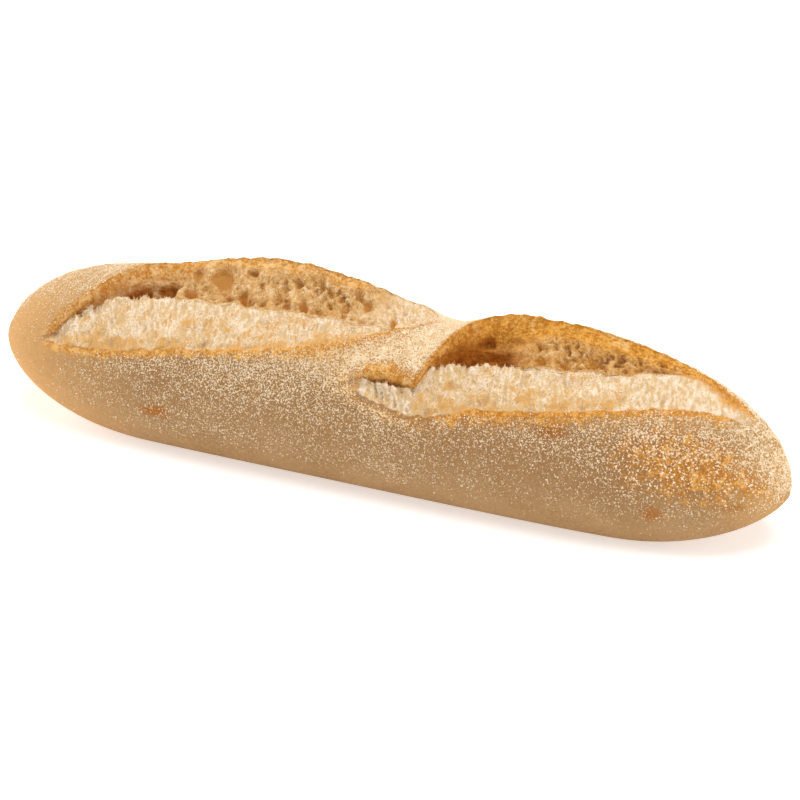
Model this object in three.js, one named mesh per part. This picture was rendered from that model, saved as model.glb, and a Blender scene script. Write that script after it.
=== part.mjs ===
// A short baguette with two opened slashes, as one closed solid.
// Millimetres: +X along the loaf, -Y its near side, +Z up, flat underside on Z = 0.
import * as THREE from "three";
import { ImprovedNoise } from "three/addons/math/ImprovedNoise.js";

const { clamp, degToRad, lerp, smoothstep: ramp } = THREE.MathUtils;

// The dough before its slashes opened
const LENGTH = 270;
const WIDTH = 65;
const CROWN = 48.3;
// Level of the widest point as a share of the height, flat underside as a share of the width
const WAIST_SHARE = 0.4;
const FOOT_SHARE = 0.6;
// Each end: height of its tip, bluntness in plan and from the side, where the underside lifts off
const LEFT_END = { tip: 21, plan: 6, side: 7, liftFrom: 75 };
const RIGHT_END = { tip: 14.5, plan: 4.9, side: 7, liftFrom: 86 };
// Roots of the curves that round off the ends in plan, from the side and underneath
const PLAN_ROOT = 2;
const SIDE_ROOT = 1.6;
const LIFT_ROOT = 1.3;

// Clock angles round a section: -90 near foot, 0 near side, 90 crown, 180 far side, 270 far foot
const NEAR_FOOT = -90;
const NEAR_HIP = -38;
const FAR_FOOT = 270;

// Each slash runs along X from start to end while its seam climbs from clockStart to clockEnd.
// The near lip bellies out from the seam by bow; lead and trail spread the belly along the cut.
// Up to sagTo the lip also sags, and its rolled rim grows between rimFrom and rimFull.
// The edge of the ear crosses the top at turnFrom, over turnOver, the faster at first the smaller
// its turnBend, and follows the ridge clock.
// The ear rises by rise between riseFrom and riseTo, settles between fallFrom and fallTo and is
// gone between dropFrom and dropTo.
// The crumb ends at a crest that climbs from crestClock to crestFar, at most crestMost of the way
// from lip to ear, and lies crestDip under the whole dough; past meetFrom it climbs up to the ear.
// The pocket is the hollow under the ear; the flap is a small curl of crust at the start, whose
// edge arches by flapArch and droops by flapDroop up to where the ear crosses the top.
const LEFT_SLASH = {
  start: -113, end: 18, clockStart: 25, clockEnd: 104, sweep: 1.35,
  bow: 17.9, lead: 2.18, trail: 0.69, sag: 2.2, sagTo: -59.5, rimFrom: -120, rimFull: -112,
  turnFrom: -114, turnOver: 32, turnBend: 1, ridge: 114, closeFrom: 0.92,
  rise: 10.2, riseFrom: -104, riseTo: -38, fallFrom: -36, fallTo: 30, dropFrom: 4, dropTo: 16,
  crestClock: 56, crestFar: 81, crestFrom: -96, crestTo: -30, crestBend: 0.4, crestMost: 0.66,
  crestDip: 1.4, meetFrom: 20, meetTo: 30,
  pocketFrom: -112, pocketFull: -98, pocketKeep: -79, pocketTo: -71,
  flapFrom: -113, flapTo: -90, flapRise: 0, flapArch: 0, flapDroop: 0, flapCrest: 0.5,
  parkClock: 150, parkEdge: 18, parkOver: 28, tipEdge: -113, parkWay: 1,
};
const RIGHT_SLASH = {
  start: -3, end: 127, clockStart: 40, clockEnd: 113, sweep: 1.45,
  bow: 26.6, lead: 0.91, trail: 0.262, sag: 7.9, sagTo: 41.6, rimFrom: 10, rimFull: 38,
  turnFrom: 20, turnOver: 12, turnBend: 0.45, ridge: 112, closeFrom: 0.8,
  rise: 6.8, riseFrom: 17, riseTo: 41, fallFrom: 56, fallTo: 124, dropFrom: 130, dropTo: 135,
  crestClock: 59, crestFar: 86, crestFrom: 24, crestTo: 86, crestBend: 0.7, crestMost: 0.92,
  crestDip: 1.6, meetFrom: 78, meetTo: 116,
  pocketFrom: 19.5, pocketFull: 24, pocketKeep: 36, pocketTo: 55,
  flapFrom: -2, flapTo: 22, flapRise: 0.8, flapArch: 2, flapDroop: 4, flapCrest: 0.76,
  parkClock: -10, parkEdge: -3, parkOver: 55, tipEdge: 127, parkWay: -1,
};
// Clock half-width of a closed cut, and of its spare columns where they lie idle in whole crust:
// past parkEdge they drift to parkClock over parkOver, past tipEdge they only spread
const SEAM_HALF = 3;
const PARK_HALF = 13;
const SPREAD_OVER = 8;
// Shares of a cut's length over which its two ends open
const OPEN_LEAD = 0.04;
const OPEN_TRAIL = 0.1;
// Clock span over which a raised ear blends back into the far side
const FLAP_SPAN = 70;
// Where the crest has climbed to the ear: clock angle left between them, and share of the way
const MEET_GAP = 1.5;
const MEET_SHARE = 0.98;

// Relief, in millimetres
const RIM_HEIGHT = 0.9;
const RIM_SPAN = 9;
const CRUMB_DIP = 1.2;
const CREASE_DEPTH = 6;
const POCKET_REACH = 7;
const POCKET_PULL = 5;
const POCKET_DROP = 3;
// The crease behind the crest, as a share of the way to the ear: in the open, and under an ear
const CREASE_CLOSE = 0.1;
const CREASE_SHARE = 0.4;
// Share of its depth that the crease keeps in the open, and that it has under the flap
const CREASE_SHALLOW = 0.08;
const FLAP_DEPTH = 0.35;
// Share of the crest's dip that is left under the flap
const FLAP_DIP = 0.4;
// Clock width of a torn wall that shows its full depth, in the open and over a pocket; narrower
// ones are shallower
const FULL_WALL = 30;
const FULL_POCKET = 15;
const UNEVEN_HEIGHT = 0.7;
const UNEVEN_SIZE = 24;
const CRAG_HEIGHT = 0.6;
const CRAG_SIZE = 7;
const PORE_DEPTH = 2.2;
const PORE_SIZE = 8;
// Where the torn wall bends between crease and ear, across and up; a pocket lifts the bend
const WALL_BEND = 0.75;
const WALL_LEVEL = 0.35;
const POCKET_LEVEL = 0.15;

// Sections along the loaf, packed closer towards the ends, and columns in each band of a section
const SECTIONS = 108;
const END_CROWDING = 1.25;
const COLUMNS = { hip: 4, near: 6, face: 4, fall: 2, wall: 6, strap: 4, far: 9, underside: 3 };

// Baked crust: warm tan, dull
const CRUST_COLOUR = 0xc39d73;
const CRUST_ROUGHNESS = 0.85;

const noise = new ImprovedNoise();

// Soft hump that is 0 at both positions and 1 half-way.
function hump(value, from, to) {
  return Math.sin(Math.PI * clamp((value - from) / (to - from), 0, 1));
}

// Belly of a lip along its cut, 0 at both ends and 1 at its fullest.
function belly(t, lead, trail) {
  const peak = lead / (lead + trail);
  return t ** lead * (1 - t) ** trail / (peak ** lead * (1 - peak) ** trail);
}

// Sizes of the whole dough at one station.
function doughAt(x) {
  const end = x < 0 ? LEFT_END : RIGHT_END;
  const out = Math.abs(x) / (LENGTH / 2);
  const plan = (1 - out ** end.plan) ** (1 / PLAN_ROOT);
  const side = (1 - out ** end.side) ** (1 / SIDE_ROOT);
  const past = Math.max(Math.abs(x) - end.liftFrom, 0) / (LENGTH / 2 - end.liftFrom);
  const base = end.tip * (1 - (1 - past ** 2) ** (1 / LIFT_ROOT));
  const crown = lerp(end.tip, CROWN, side);
  const half = WIDTH / 2 * plan;
  return { x, plan, half, foot: half * FOOT_SHARE, base, crown, waist: lerp(base, crown, WAIST_SHARE) };
}

// Point of the whole dough at a clock angle, as (y, z).
function doughPoint(dough, clock) {
  const across = Math.cos(degToRad(clock));
  const up = Math.sin(degToRad(clock));
  if (up >= 0) {
    return new THREE.Vector2(-dough.half * across, lerp(dough.waist, dough.crown, up));
  }
  const reach = lerp(dough.foot, dough.half, Math.abs(across));
  return new THREE.Vector2(-Math.sign(across) * reach, lerp(dough.waist, dough.base, -up));
}

// Direction away from the dough at a clock angle, as (y, z).
function outward(dough, clock) {
  const dome = dough.crown - dough.waist;
  const angle = degToRad(clock);
  return new THREE.Vector2(-dome * Math.cos(angle), dough.half * Math.sin(angle)).normalize();
}

// Lines of one slash at a station: clock angles of its lip, crest and ear, and how far it is open.
function cutAt(slash, x) {
  const t = clamp((x - slash.start) / (slash.end - slash.start), 0, 1);
  const idle = ramp((x - slash.parkEdge) * slash.parkWay, 0, slash.parkOver);
  const climb = lerp(slash.clockStart, slash.clockEnd, t ** slash.sweep);
  const seam = lerp(climb, slash.parkClock, idle);
  const spread = ramp((slash.tipEdge - x) * slash.parkWay, 0, SPREAD_OVER);
  const half = lerp(SEAM_HALF, PARK_HALF, Math.max(idle, spread));
  const open = ramp(t, 0, OPEN_LEAD) * (1 - ramp(t, 1 - OPEN_TRAIL, 1));
  const flap = slash.flapArch > 0 ? hump(x, slash.flapFrom, slash.flapTo) : 0;
  const cross = ramp(x, slash.turnFrom, slash.turnFrom + slash.turnOver) ** slash.turnBend;
  const apart = cross * (1 - ramp(t, slash.closeFrom, 1)) * Math.max(slash.ridge - seam, 0);
  const sag = slash.sag * hump(x, slash.start, slash.sagTo);
  const lip = seam - half - slash.bow * belly(t, slash.lead, slash.trail) - sag;
  const droop = slash.flapDroop * ramp(x, slash.flapFrom, slash.flapTo) * (1 - cross);
  const ear = seam + half + apart + slash.flapArch * flap - droop;
  const meet = ramp(x, slash.meetFrom, slash.meetTo);
  const far = clamp((x - slash.crestFrom) / (slash.crestTo - slash.crestFrom), 0, 1) ** slash.crestBend;
  const line = lerp(lerp(slash.crestClock, slash.crestFar, far), ear - MEET_GAP, meet);
  const most = lerp(lerp(slash.crestMost, slash.flapCrest, flap), MEET_SHARE, meet);
  const torn = clamp(line, lip + 1, lerp(lip, ear, most));
  const settle = (1 - ramp(x, slash.fallFrom, slash.fallTo)) * (1 - ramp(x, slash.dropFrom, slash.dropTo));
  const crag = slash.rise + CRAG_HEIGHT * noise.noise(x / CRAG_SIZE, slash.ridge, slash.start);
  return {
    lip, ear, open, flap, meet,
    rim: open * ramp(x, slash.rimFrom, slash.rimFull),
    ridge: Math.max(ear, lerp(slash.ridge, slash.parkClock, idle)),
    crest: lerp(lerp(lip, ear, 0.5), torn, open),
    dip: slash.crestDip * open * (1 - meet) * lerp(1, FLAP_DIP, flap),
    rise: ramp(x, slash.riseFrom, slash.riseTo) * settle * crag + slash.flapRise * flap,
    pocket: ramp(x, slash.pocketFrom, slash.pocketFull) * (1 - ramp(x, slash.pocketKeep, slash.pocketTo)),
  };
}

// Point of the crust with its rims, raised ears and slow unevenness, as (y, z).
function crustPoint(dough, cuts, clock) {
  const point = doughPoint(dough, clock);
  let swell = UNEVEN_HEIGHT * dough.plan * Math.max(Math.sin(degToRad(clock)), 0)
    * noise.noise(dough.x / UNEVEN_SIZE, point.x / UNEVEN_SIZE, point.y / UNEVEN_SIZE);
  for (const cut of cuts) {
    if (clock <= cut.lip) {
      swell += RIM_HEIGHT * cut.rim * ramp(clock, cut.lip - RIM_SPAN, cut.lip);
    }
  }
  point.addScaledVector(outward(dough, clock), swell);
  for (const cut of cuts) {
    if (clock >= cut.ear) {
      point.y += cut.rise * (1 - ramp(clock, cut.ridge, cut.ridge + FLAP_SPAN));
    }
  }
  return point;
}

// Columns of crust from one clock angle up to, but not including, another.
function crustBand(dough, cuts, from, to, count) {
  const points = [];
  for (let i = 0; i < count; i++) {
    points.push(crustPoint(dough, cuts, lerp(from, to, i / count)));
  }
  return points;
}

// Columns of one slash: the crumb from lip to crest, the fall behind it, the torn wall to the ear.
// Where the cut is closed they all lie in the whole crust.
function slashBand(dough, cuts, cut) {
  const points = [];
  const climb = cut.open * cut.meet * cut.rise;
  for (let i = 0; i < COLUMNS.face; i++) {
    const share = i / COLUMNS.face;
    const clock = lerp(cut.lip, cut.crest, share);
    const dip = CRUMB_DIP * cut.open * Math.sin(Math.PI * share) + cut.dip * share;
    const point = crustPoint(dough, cuts, clock).addScaledVector(outward(dough, clock), -dip);
    point.y += climb * share ** 2;
    points.push(point);
  }
  const under = Math.max(cut.pocket, cut.flap);
  const fullSpan = lerp(FULL_WALL, FULL_POCKET, cut.pocket);
  const wide = cut.open * Math.min((cut.ear - cut.crest) / fullSpan, 1);
  const depth = Math.max(wide, FLAP_DEPTH * cut.flap) * (1 - cut.meet) * lerp(CREASE_SHALLOW, 1, under);
  const hollow = depth * cut.pocket;
  const crest = crustPoint(dough, cuts, cut.crest).addScaledVector(outward(dough, cut.crest), -cut.dip);
  crest.y += climb;
  const ear = crustPoint(dough, cuts, cut.ear);
  const creaseShare = lerp(CREASE_CLOSE, CREASE_SHARE, Math.max(under, cut.meet));
  const creaseClock = lerp(cut.crest, cut.ear, creaseShare);
  const crease = crustPoint(dough, cuts, creaseClock).addScaledVector(outward(dough, creaseClock), -cut.dip);
  crease.x += POCKET_REACH * depth * under;
  crease.y += climb - CREASE_DEPTH * depth - POCKET_DROP * depth * under;
  for (let i = 0; i < COLUMNS.fall; i++) {
    const share = i / COLUMNS.fall;
    const turn = Math.PI / 2 * share;
    const level = lerp(crest.y, crease.y, Math.sin(turn));
    const point = new THREE.Vector2(lerp(crest.x, crease.x, 1 - Math.cos(turn)), level);
    const whole = crustPoint(dough, cuts, lerp(cut.crest, creaseClock, share));
    points.push(whole.lerp(point, cut.open));
  }
  const bend = new THREE.Vector2(
    lerp(crease.x, ear.x, WALL_BEND) - POCKET_PULL * hollow,
    lerp(crease.y, ear.y, WALL_LEVEL + POCKET_LEVEL * hollow),
  );
  const wall = new THREE.QuadraticBezierCurve(crease, bend, ear);
  for (let i = 0; i < COLUMNS.wall; i++) {
    const share = i / COLUMNS.wall;
    const point = wall.getPoint(share);
    const along = wall.getTangent(share);
    const pit = Math.max(noise.noise(dough.x / PORE_SIZE, point.x / PORE_SIZE, point.y / PORE_SIZE), 0);
    const sink = PORE_DEPTH * wide * Math.sin(Math.PI * share) * pit;
    point.addScaledVector(new THREE.Vector2(along.y, -along.x), sink);
    const whole = crustPoint(dough, cuts, lerp(creaseClock, cut.ear, share));
    points.push(whole.lerp(point, cut.open));
  }
  return points;
}

// Flat columns under the loaf, from the far foot back to the near one.
function undersideBand(dough) {
  const points = [];
  for (let i = 0; i < COLUMNS.underside; i++) {
    const y = lerp(dough.foot, -dough.foot, i / COLUMNS.underside);
    points.push(new THREE.Vector2(y, dough.base));
  }
  return points;
}

// One closed section of the loaf, listed from the near foot over the top and back underneath.
function sectionAt(x) {
  const dough = doughAt(x);
  const right = cutAt(RIGHT_SLASH, x);
  const left = cutAt(LEFT_SLASH, x);
  const cuts = [right, left];
  const points = [
    ...crustBand(dough, cuts, NEAR_FOOT, NEAR_HIP, COLUMNS.hip),
    ...crustBand(dough, cuts, NEAR_HIP, right.lip, COLUMNS.near),
    ...slashBand(dough, cuts, right),
    ...crustBand(dough, cuts, right.ear, left.lip, COLUMNS.strap),
    ...slashBand(dough, cuts, left),
    ...crustBand(dough, cuts, left.ear, FAR_FOOT, COLUMNS.far),
    ...undersideBand(dough),
  ];
  return points.map((point) => new THREE.Vector3(x, point.x, point.y));
}

// Station of a section, counted from the left tip to the right tip.
function stationAt(index) {
  const share = 2 * index / SECTIONS - 1;
  return Math.sign(share) * (1 - (1 - Math.abs(share)) ** END_CROWDING) * LENGTH / 2;
}

// Triangles of the patch between two neighbouring sections, split along its shorter diagonal.
function patch(points, near, nearNext, far, farNext) {
  if (points[near].distanceTo(points[farNext]) < points[nearNext].distanceTo(points[far])) {
    return [near, farNext, nearNext, near, far, farNext];
  }
  return [near, far, nearNext, nearNext, far, farNext];
}

// Closed skin over a row of sections, drawn together to a point at each end.
function skin(sections, leftTip, rightTip) {
  const points = [...sections.flat(), leftTip, rightTip];
  const round = sections[0].length;
  const last = (sections.length - 1) * round;
  const triangles = [];
  for (let column = 0; column < round; column++) {
    const next = (column + 1) % round;
    triangles.push(points.length - 2, column, next);
    triangles.push(points.length - 1, last + next, last + column);
    for (let row = 0; row < last; row += round) {
      triangles.push(...patch(points, row + column, row + next, row + round + column, row + round + next));
    }
  }
  const geometry = new THREE.BufferGeometry().setFromPoints(points).setIndex(triangles);
  geometry.computeVertexNormals();
  return geometry;
}

const sections = [];
for (let i = 1; i < SECTIONS; i++) {
  sections.push(sectionAt(stationAt(i)));
}
const leftTip = new THREE.Vector3(-LENGTH / 2, 0, LEFT_END.tip);
const rightTip = new THREE.Vector3(LENGTH / 2, 0, RIGHT_END.tip);
const shape = skin(sections, leftTip, rightTip);

// The middle of the bounding box stands over the origin
shape.computeBoundingBox();
const middle = shape.boundingBox.getCenter(new THREE.Vector3());
shape.translate(-middle.x, -middle.y, -shape.boundingBox.min.z);

const crust = new THREE.MeshStandardMaterial({
  color: CRUST_COLOUR,
  roughness: CRUST_ROUGHNESS,
  metalness: 0,
});
const loaf = new THREE.Mesh(shape, crust);
loaf.name = "loaf";

const baguette = new THREE.Group();
baguette.name = "baguette";
baguette.add(loaf);

export default baguette;
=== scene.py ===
# %% [markdown]
# A short baguette: a crust baked tan and dusted with flour, and two slashes that tore open in the
# oven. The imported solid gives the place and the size. This lesson grows the same loaf again as a
# finer mesh, so that fibres, pores and rough edges are real shape, scatters flour on it grain by
# grain, and then bakes its colours.

# %% Load the frame
import math

import bpy
import numpy as np
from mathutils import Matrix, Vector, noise


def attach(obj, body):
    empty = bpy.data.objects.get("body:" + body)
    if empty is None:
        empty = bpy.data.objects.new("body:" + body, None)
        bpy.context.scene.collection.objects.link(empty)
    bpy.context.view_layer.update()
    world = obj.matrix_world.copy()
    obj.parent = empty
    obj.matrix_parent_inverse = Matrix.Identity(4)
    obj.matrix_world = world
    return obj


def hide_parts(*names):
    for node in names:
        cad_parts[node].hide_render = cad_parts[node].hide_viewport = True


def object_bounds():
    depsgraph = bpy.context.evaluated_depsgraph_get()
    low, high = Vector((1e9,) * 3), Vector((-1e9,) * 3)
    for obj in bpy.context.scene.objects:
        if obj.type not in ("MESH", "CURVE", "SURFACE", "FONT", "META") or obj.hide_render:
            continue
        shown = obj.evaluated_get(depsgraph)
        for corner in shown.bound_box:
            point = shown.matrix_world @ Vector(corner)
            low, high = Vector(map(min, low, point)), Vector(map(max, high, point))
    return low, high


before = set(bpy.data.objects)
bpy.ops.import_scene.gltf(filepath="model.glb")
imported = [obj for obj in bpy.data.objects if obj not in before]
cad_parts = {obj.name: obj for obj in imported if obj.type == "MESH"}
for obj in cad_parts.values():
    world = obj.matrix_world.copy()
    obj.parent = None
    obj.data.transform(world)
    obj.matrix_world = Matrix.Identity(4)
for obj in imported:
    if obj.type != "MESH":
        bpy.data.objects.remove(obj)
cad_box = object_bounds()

print("solid box in mm:", [[round(1000 * v, 1) for v in corner] for corner in cad_box])

# %% [markdown]
# The mesh is worked out with whole arrays. A value with one entry per section is a column array, so
# it meets a row of clock angles and fills a grid. Two noise helpers, a soft cloud and a torn foam, make
# the unevenness; they depend on position alone, so the loaf comes out the same on every run.

# %% Small helpers
def mix(a, b, share):
    """From a at share 0 to b at share 1."""
    return a + (b - a) * share


def ramp(value, start, end):
    """Smooth step from 0 at start to 1 at end."""
    share = np.clip((value - start) / (end - start), 0, 1)
    return share * share * (3 - 2 * share)


def hump(value, start, end):
    """Round hump, 0 at start and end and 1 halfway."""
    return np.sin(np.pi * np.clip((value - start) / (end - start), 0, 1))


def spots_of(x, y, z, size, seed):
    """Places in a noise whose patches are as wide as size."""
    return (np.stack(np.broadcast_arrays(x, y, z), -1).reshape(-1, 3) / size + seed).tolist()


def cloud(x, y, z, size, seed=0.0):
    """Soft random field from about -1 to 1 whose patches are as wide as size."""
    values = np.array([noise.noise(spot) for spot in spots_of(x, y, z, size, seed)])
    return values.reshape(np.broadcast(x, y, z).shape)


WEB, SHALLOW_SHARE, LOT_FACTORS = (0.02, 0.28), 0.6, (7.31, 3.17)


def foam(x, y, z, size, seed=0.0):
    """Torn foam: 0 on the thin webs between cells, up to 1 inside a cell; some cells are shallow."""
    near, next_near, chance = [], [], []
    for spot in spots_of(x, y, z, size, seed):
        distances, centres = noise.voronoi(spot)
        near.append(distances[0])
        next_near.append(distances[1])
        # The cell's own centre draws its lot, so a whole cell is shallow or deep
        chance.append((centres[0][0] * LOT_FACTORS[0] + centres[0][2] * LOT_FACTORS[1]) % 1)
    inside = ramp(np.array(next_near) - np.array(near), *WEB)
    deep = ramp(np.array(chance), 0.0, SHALLOW_SHARE)
    return (inside * deep).reshape(np.broadcast(x, y, z).shape)


print("a ramp at each quarter of its way:", ramp(np.linspace(0, 1, 5), 0, 1))

# %% [markdown]
# The dough before its slashes opened: a long body with blunt rounded ends, widest below the middle
# of its height and flat underneath. All sizes are in millimetres. A clock angle says where a point
# lies round a section: -90 is the near foot, 0 the near side, 90 the crown, 180 the far side.

# %% The whole dough
LENGTH, WIDTH = (round(1000 * (cad_box[1][i] - cad_box[0][i]), 1) for i in (0, 1))
CROWN, WAIST_SHARE, FOOT_SHARE = 48.3, 0.4, 0.6
# Pairs are for the left and the right end; the higher the power, the blunter the end
TIP_HEIGHT = (21.0, 14.5)
PLAN_BLUNT, SIDE_BLUNT = (6.0, 4.9), (7.0, 7.0)
LIFT_FROM = (75.0, 86.0)
PLAN_ROOT, SIDE_ROOT, LIFT_ROOT = 2.0, 1.6, 1.3
NEAR_FOOT, NEAR_HIP, FAR_FOOT = -90.0, -38.0, 270.0


def dough_at(x):
    """Sizes of the whole dough at each station."""
    side_of = (x > 0).astype(int)
    out = np.abs(x) / (LENGTH / 2)
    plan = (1 - out ** np.take(PLAN_BLUNT, side_of)) ** (1 / PLAN_ROOT)
    side = (1 - out ** np.take(SIDE_BLUNT, side_of)) ** (1 / SIDE_ROOT)
    tip, lift_from = np.take(TIP_HEIGHT, side_of), np.take(LIFT_FROM, side_of)
    past = np.maximum(np.abs(x) - lift_from, 0) / (LENGTH / 2 - lift_from)
    base = tip * (1 - (1 - past ** 2) ** (1 / LIFT_ROOT))
    crown = mix(tip, CROWN, side)
    half = WIDTH / 2 * plan
    return dict(x=x, plan=plan, half=half, foot=half * FOOT_SHARE, base=base, crown=crown,
                waist=mix(base, crown, WAIST_SHARE))


def dough_point(dough, clock):
    """Across and up of the whole dough at clock angles."""
    across, up = np.cos(np.radians(clock)), np.sin(np.radians(clock))
    reach = mix(dough["foot"], dough["half"], np.abs(across))
    y = np.where(up >= 0, -dough["half"] * across, -np.sign(across) * reach)
    top = np.where(up >= 0, dough["crown"], dough["base"])
    return y, mix(dough["waist"], top, np.abs(up))


def outward(dough, clock):
    """Direction away from the dough at clock angles."""
    across = -(dough["crown"] - dough["waist"]) * np.cos(np.radians(clock))
    up = dough["half"] * np.sin(np.radians(clock))
    size = np.hypot(across, up)
    return across / size, up / size


print("whole dough:", LENGTH, "by", WIDTH, "by", CROWN, "mm")

# %% [markdown]
# A baker's blade cuts shallow and slanted, so in the oven one edge of the cut stays down as a lip
# while the other peels up as an ear. Each slash is a handful of lines along the loaf: the lip, the
# crest where pale crumb ends, and the edge of the ear. Beyond a slash its columns lie idle in the
# whole crust, so the grid has the same columns everywhere.

# %% The two slashes
# Places along the loaf are start, end and the names in from, full, keep, to and edge; names in over
# are lengths, and rise and dip are heights. Clock angles are the names in clock, bow, sag, ridge,
# crest_far, flap_arch and flap_droop. Shares are close_from, crest_most and flap_crest. The powers
# sweep, lead, trail and bend shape a curve, and park_way is the side on which the columns lie idle.
LEFT_SLASH = dict(
    start=-113, end=18, clock_start=25, clock_end=104, sweep=1.35, bow=17.9, lead=2.18, trail=0.69,
    sag=2.2, sag_to=-59.5, rim_from=-120, rim_full=-112,
    bare_from=-120, bare_full=-113, turn_from=-114, turn_over=32, turn_bend=1, ridge=114, close_from=0.92,
    rise=10.2, rise_from=-104, rise_to=-38, fall_from=-36, fall_to=30, drop_from=4, drop_to=16,
    crest_clock=56, crest_far=81, crest_from=-96, crest_to=-30, crest_bend=0.4, crest_most=0.66,
    crest_dip=1.4, meet_from=20, meet_to=30,
    pocket_from=-112, pocket_full=-98, pocket_keep=-79, pocket_to=-71,
    flap_from=-113, flap_to=-90, flap_rise=0, flap_arch=0, flap_droop=0, flap_crest=0.5,
    park_clock=150, park_edge=18, park_over=28, tip_edge=-113, park_way=1)
RIGHT_SLASH = dict(
    start=-3, end=127, clock_start=40, clock_end=113, sweep=1.45, bow=26.6, lead=0.91, trail=0.262,
    sag=7.9, sag_to=41.6, rim_from=10, rim_full=38,
    bare_from=-3, bare_full=4, turn_from=20, turn_over=12, turn_bend=0.45, ridge=112, close_from=0.8,
    rise=6.8, rise_from=17, rise_to=41, fall_from=56, fall_to=124, drop_from=130, drop_to=135,
    crest_clock=59, crest_far=86, crest_from=24, crest_to=86, crest_bend=0.7, crest_most=0.92,
    crest_dip=1.6, meet_from=78, meet_to=116,
    pocket_from=19.5, pocket_full=24, pocket_keep=36, pocket_to=55,
    flap_from=-2, flap_to=22, flap_rise=0.8, flap_arch=2.0, flap_droop=4, flap_crest=0.76,
    park_clock=-10, park_edge=-3, park_over=55, tip_edge=127, park_way=-1)
for name, slash in (("left", LEFT_SLASH), ("right", RIGHT_SLASH)):
    print(name, "slash from", slash["start"], "to", slash["end"], "mm along the loaf")

# %% [markdown]
# From those values come the lines of a slash at every section. The lip bows towards the near side,
# and the ear leaves the seam for the ridge where it stands up. The crest climbs between the two and
# meets the ear where the slash closes. Each line also wanders in waves and small chips, because torn
# dough has no smooth edge.

# %% Lines of a slash
# Half width of the seam along the cut and where it lies idle, as clock angles, and the length between
SEAM_HALF, PARK_HALF, SPREAD_OVER = 3, 13, 8
# Shares of the cut over which it opens and closes
OPEN_LEAD, OPEN_TRAIL = 0.04, 0.1
# How far lip, crest and flap wander, as clock angles, how high the ear's crags are, and their sizes
LIP_WANDER, CREST_WANDER, FLAP_TEETH, CRAG_HEIGHT = 1.3, 3.0, 1.5, 0.6
LIP_WAVE, LIP_CHIP, CREST_WAVE, CREST_CHIP = 4.5, 1.7, 5.0, 1.9
CRAG_WAVE, CRAG_CHIP, FLAP_CHIP = 7.0, 2.6, 2.6
# Clock angles between lip and crest at the least and between crest and ear where the two meet, the
# crest's largest share of the way there, and the share of its dip that the flap takes away
CREST_ROOM, MEET_GAP, MEET_SHARE, FLAP_EASE = 1, 1.5, 0.98, 0.6


def belly(t, lead, trail):
    """Belly of a lip along its cut, 0 at both ends and 1 at its fullest."""
    peak = lead / (lead + trail)
    return t ** lead * (1 - t) ** trail / (peak ** lead * (1 - peak) ** trail)


def cut_at(s, x):
    """Lines of one slash at each station, as clock angles, and how far it is open."""
    t = np.clip((x - s["start"]) / (s["end"] - s["start"]), 0, 1)
    idle = ramp((x - s["park_edge"]) * s["park_way"], 0, s["park_over"])
    spread = ramp((s["tip_edge"] - x) * s["park_way"], 0, SPREAD_OVER)
    seam = mix(mix(s["clock_start"], s["clock_end"], t ** s["sweep"]), s["park_clock"], idle)
    half = mix(SEAM_HALF, PARK_HALF, np.maximum(idle, spread))
    opened = ramp(t, 0, OPEN_LEAD) * (1 - ramp(t, 1 - OPEN_TRAIL, 1))
    flap = hump(x, s["flap_from"], s["flap_to"]) * (s["flap_arch"] > 0)
    cross = ramp(x, s["turn_from"], s["turn_from"] + s["turn_over"]) ** s["turn_bend"]
    apart = cross * (1 - ramp(t, s["close_from"], 1)) * np.maximum(s["ridge"] - seam, 0)

    wander = cloud(x, s["start"], 0, LIP_WAVE) + 0.6 * cloud(x, s["end"], 5, LIP_CHIP)
    lip = seam - half - s["bow"] * belly(t, s["lead"], s["trail"])
    lip = lip - s["sag"] * hump(x, s["start"], s["sag_to"]) + LIP_WANDER * opened * wander
    droop = s["flap_droop"] * ramp(x, s["flap_from"], s["flap_to"]) * (1 - cross)
    notches = FLAP_TEETH * cloud(x, s["end"], 2, FLAP_CHIP)
    ear = seam + half + apart - droop + flap * (s["flap_arch"] + notches)

    far = np.clip((x - s["crest_from"]) / (s["crest_to"] - s["crest_from"]), 0, 1) ** s["crest_bend"]
    teeth = cloud(x, s["end"], 9, CREST_WAVE) + 0.9 * cloud(x, s["start"], 3, CREST_CHIP)
    meet = ramp(x, s["meet_from"], s["meet_to"])
    crest = mix(s["crest_clock"], s["crest_far"], far) + CREST_WANDER * teeth
    crest = mix(crest, ear - MEET_GAP, meet)
    most = mix(mix(s["crest_most"], s["flap_crest"], flap), MEET_SHARE, meet)
    crest = mix(mix(lip, ear, 0.5), np.clip(crest, lip + CREST_ROOM, mix(lip, ear, most)), opened)

    settle = (1 - ramp(x, s["fall_from"], s["fall_to"])) * (1 - ramp(x, s["drop_from"], s["drop_to"]))
    crag = cloud(x, s["ridge"], s["start"], CRAG_WAVE) + 0.5 * cloud(x, s["ridge"], s["end"], CRAG_CHIP)
    rise = ramp(x, s["rise_from"], s["rise_to"]) * settle * (s["rise"] + CRAG_HEIGHT * crag)
    pocket = ramp(x, s["pocket_from"], s["pocket_full"]) * (1 - ramp(x, s["pocket_keep"], s["pocket_to"]))
    return dict(lip=lip, ear=ear, crest=crest, opened=opened, pocket=pocket, flap=flap, meet=meet,
                rim=opened * ramp(x, s["rim_from"], s["rim_full"]),
                bared=opened * ramp(x, s["bare_from"], s["bare_full"]),
                dip=s["crest_dip"] * opened * (1 - FLAP_EASE * flap) * (1 - meet),
                ridge=np.maximum(ear, mix(s["ridge"], s["park_clock"], idle)),
                rise=rise + s["flap_rise"] * flap)


print("the ears rise by about", LEFT_SLASH["rise"], "and", RIGHT_SLASH["rise"], "mm")

# %% [markdown]
# The crust follows the dough, swells a little unevenly, rolls up into a rim at each lip and is
# carried up by the ears, whose lift fades out down the far side.

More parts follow.
